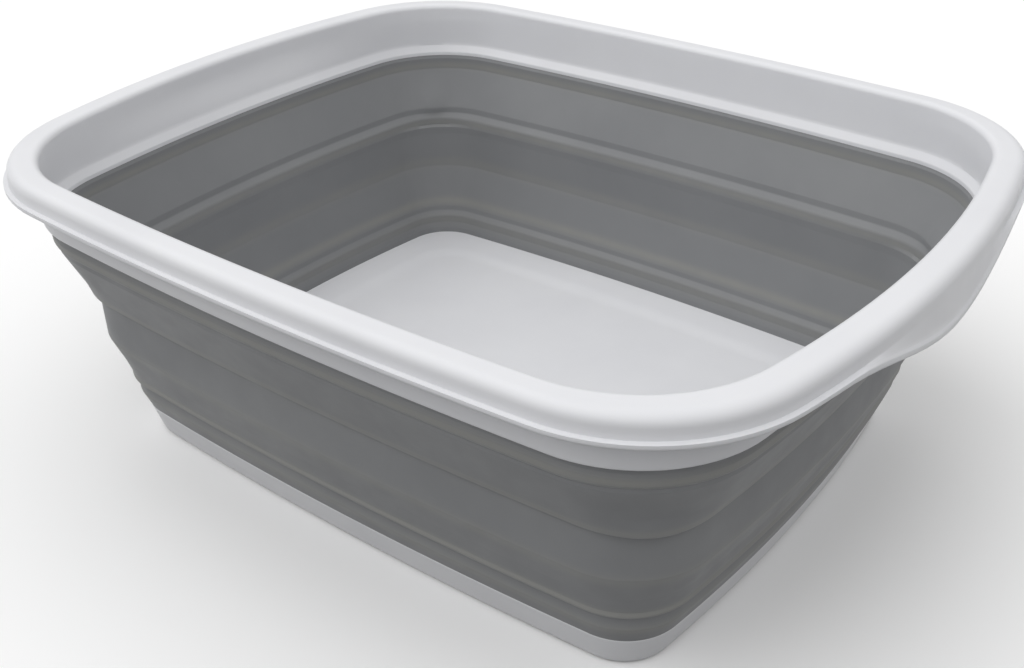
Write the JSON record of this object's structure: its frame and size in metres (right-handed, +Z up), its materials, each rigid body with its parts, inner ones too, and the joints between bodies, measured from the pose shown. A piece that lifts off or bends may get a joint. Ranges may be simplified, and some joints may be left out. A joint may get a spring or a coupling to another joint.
{
  "type": "collapsible pet bathtub",
  "caption": "Rectangular pop-up wash tub: flared white rim with end grips, grey soft wall with two folds, white base tray on soft feet.",
  "frame": {"origin": "centre of the underside, on the surface the feet stand on, with the tub opened", "axes": "+X along the length towards the right-hand end grip, +Y across the width towards the back, +Z up"},
  "size_m": [0.468, 0.376, 0.1685],
  "materials": {
    "white_pp": "satin moulded polypropylene",
    "grey_tpe": "matt soft-touch elastomer",
    "foot_tpe": "matt elastomer"
  },
  "bodies": {
    "base": {"base_tray": "white_pp", "bottom_wall_ring": "grey_tpe", "foot_pad_front_left": "foot_tpe", "foot_pad_back_left": "foot_tpe", "foot_pad_front_right": "foot_tpe", "foot_pad_back_right": "foot_tpe"},
    "lower_panel": {"lower_fold_panel": "grey_tpe"},
    "middle": {"middle_wall_band": "grey_tpe"},
    "upper_panel": {"upper_fold_panel": "grey_tpe"},
    "rim": {"rim_frame": "white_pp", "top_wall_strip": "grey_tpe"}
  },
  "joints": [
    {"name": "lower_fold", "type": "slide", "parent": "base", "child": "middle", "axis": [0, 0, 1], "range_m": [-0.06, 0], "deforming": ["lower_fold_panel"]},
    {"name": "lower_panel_follow", "type": "slide", "parent": "base", "child": "lower_panel", "axis": [0, 0, 1], "range_m": [-0.03, 0]},
    {"name": "upper_fold", "type": "slide", "parent": "middle", "child": "rim", "axis": [0, 0, 1], "range_m": [-0.062, 0], "deforming": ["upper_fold_panel"]},
    {"name": "upper_panel_follow", "type": "slide", "parent": "middle", "child": "upper_panel", "axis": [0, 0, 1], "range_m": [-0.031, 0]}
  ],
  "couplings": [
    {"joint": "lower_panel_follow", "follows": "lower_fold", "ratio": 0.5},
    {"joint": "upper_panel_follow", "follows": "upper_fold", "ratio": 0.5}
  ]
}
